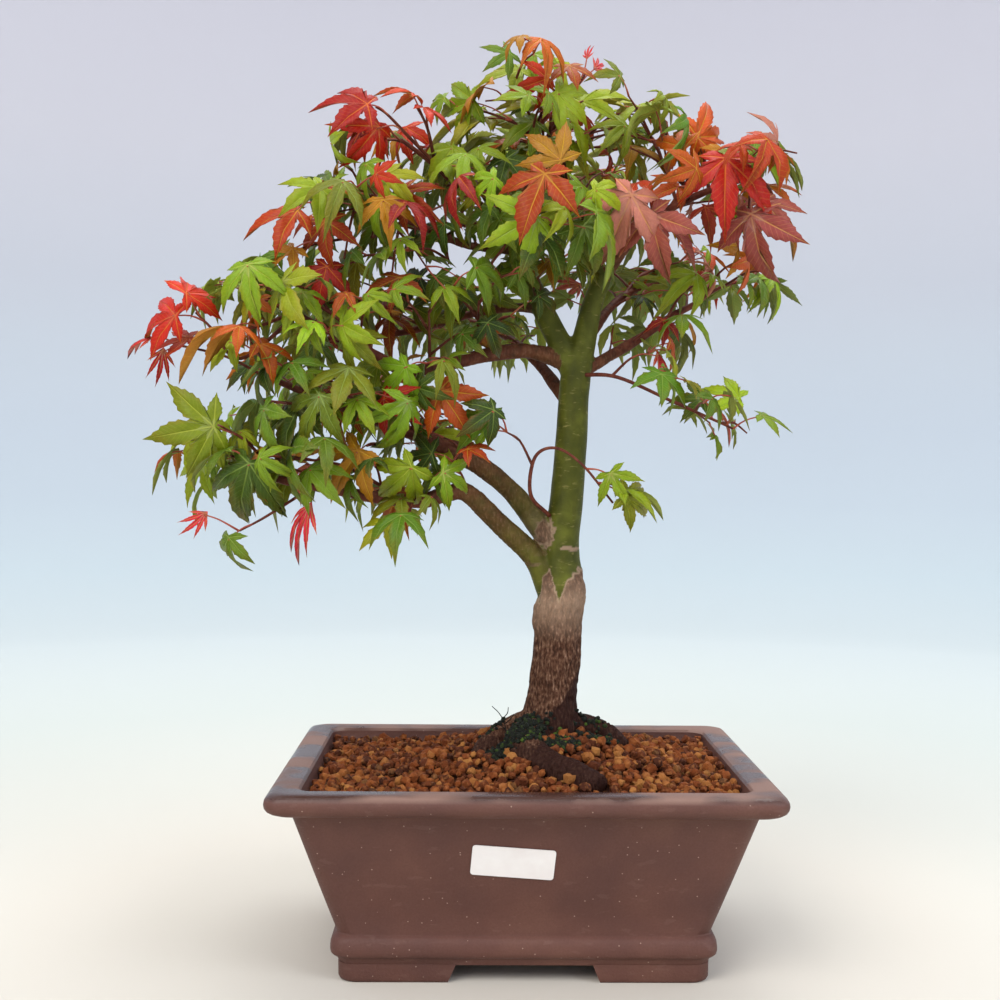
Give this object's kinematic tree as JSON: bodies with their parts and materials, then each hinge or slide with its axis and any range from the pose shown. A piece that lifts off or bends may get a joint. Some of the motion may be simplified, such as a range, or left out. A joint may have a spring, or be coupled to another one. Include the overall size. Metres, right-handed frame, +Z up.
{
  "type": "bonsai tree in a pot",
  "caption": "Small Japanese maple bonsai with a bare, gently curved trunk, tiered boughs of star-shaped autumn leaves and a footed rectangular pot, for display.",
  "frame": {"origin": "on the resting plane, under the middle of the whole plant's bounding box", "axes": "+Z up, +X to the right along the pot's long front, +Y from the front to the back"},
  "size_m": [0.388, 0.2696, 0.502],
  "materials": {
    "stoneware": "unglazed fired stoneware, matt with fine pale specks, damp and a little glossier on the rim",
    "label_paper": "blank coated paper, semi-matt",
    "mesh_plastic": "moulded plastic mesh, matt",
    "wire": "drawn wire, satin",
    "soil_granules": "moist fired-clay granules, matt",
    "moss": "damp dark green moss, matt and fuzzy",
    "old_bark": "grey-brown bark, fissured low down, smooth and olive green higher up",
    "green_bark": "smooth olive-green young bark with small lenticels",
    "brown_bark": "smooth red-brown twig bark",
    "leaf_green": "thin living leaf, semi-matt",
    "leaf_gold": "thin yellow-green autumn leaf, semi-matt",
    "leaf_orange": "thin orange autumn leaf, semi-matt",
    "leaf_red": "thin bright red autumn leaf, semi-matt",
    "leaf_pink": "thin pink young leaf and pale pink leaf underside, semi-matt"
  },
  "bodies": {
    "root": {"blank_label": "label_paper", "bough_back_left": "brown_bark", "bough_back_right": "brown_bark", "bough_crown_back": "brown_bark", "bough_crown_left": "brown_bark", "bough_front": "brown_bark", "bough_left_back": "brown_bark", "bough_left_high": "brown_bark", "bough_lower_left": "green_bark", "bough_middle_left": "green_bark", "bough_middle_left_back": "brown_bark", "bough_right": "brown_bark", "bough_upper_left": "green_bark", "bough_upper_right": "brown_bark", "drain_screen_left": "mesh_plastic", "drain_screen_right": "mesh_plastic", "leader": "green_bark", "moss_cushion": "moss", "pot": "stoneware", "screen_wire_left": "wire", "screen_wire_right": "wire", "shoot_centre_orange": "leaf_orange", "shoot_centre_pink": "leaf_pink", "shoot_crown_buds": "leaf_pink", "shoot_crown_gold": "leaf_gold", "shoot_crown_left_red": "leaf_red", "shoot_crown_left_tip": "leaf_red", "shoot_crown_right_orange": "leaf_orange", "shoot_front_bronze": "leaf_orange", "shoot_front_curl": "leaf_gold", "shoot_front_gold": "leaf_gold", "shoot_front_green": "leaf_green", "shoot_left_buds": "leaf_pink", "shoot_left_gold": "leaf_gold", "shoot_left_orange": "leaf_orange", "shoot_left_red": "leaf_red", "shoot_low_hanging": "leaf_green", "shoot_right_gold": "leaf_orange", "shoot_right_long": "leaf_green", "shoot_right_pink": "leaf_pink", "shoot_right_red": "leaf_red", "shoot_upper_left_orange": "leaf_orange", "soil_bed": "soil_granules", "spray_01": "leaf_green", "spray_02": "leaf_green", "spray_03": "leaf_green", "spray_04": "leaf_green", "spray_05": "leaf_gold", "spray_06": "leaf_green", "spray_07": "leaf_green", "spray_08": "leaf_gold", "spray_09": "leaf_gold", "spray_10": "leaf_green", "spray_11": "leaf_green", "spray_12": "leaf_green", "spray_13": "leaf_green", "spray_14": "leaf_gold", "spray_15": "leaf_green", "stem_left": "green_bark", "trunk": "old_bark"}
  },
  "joints": []
}
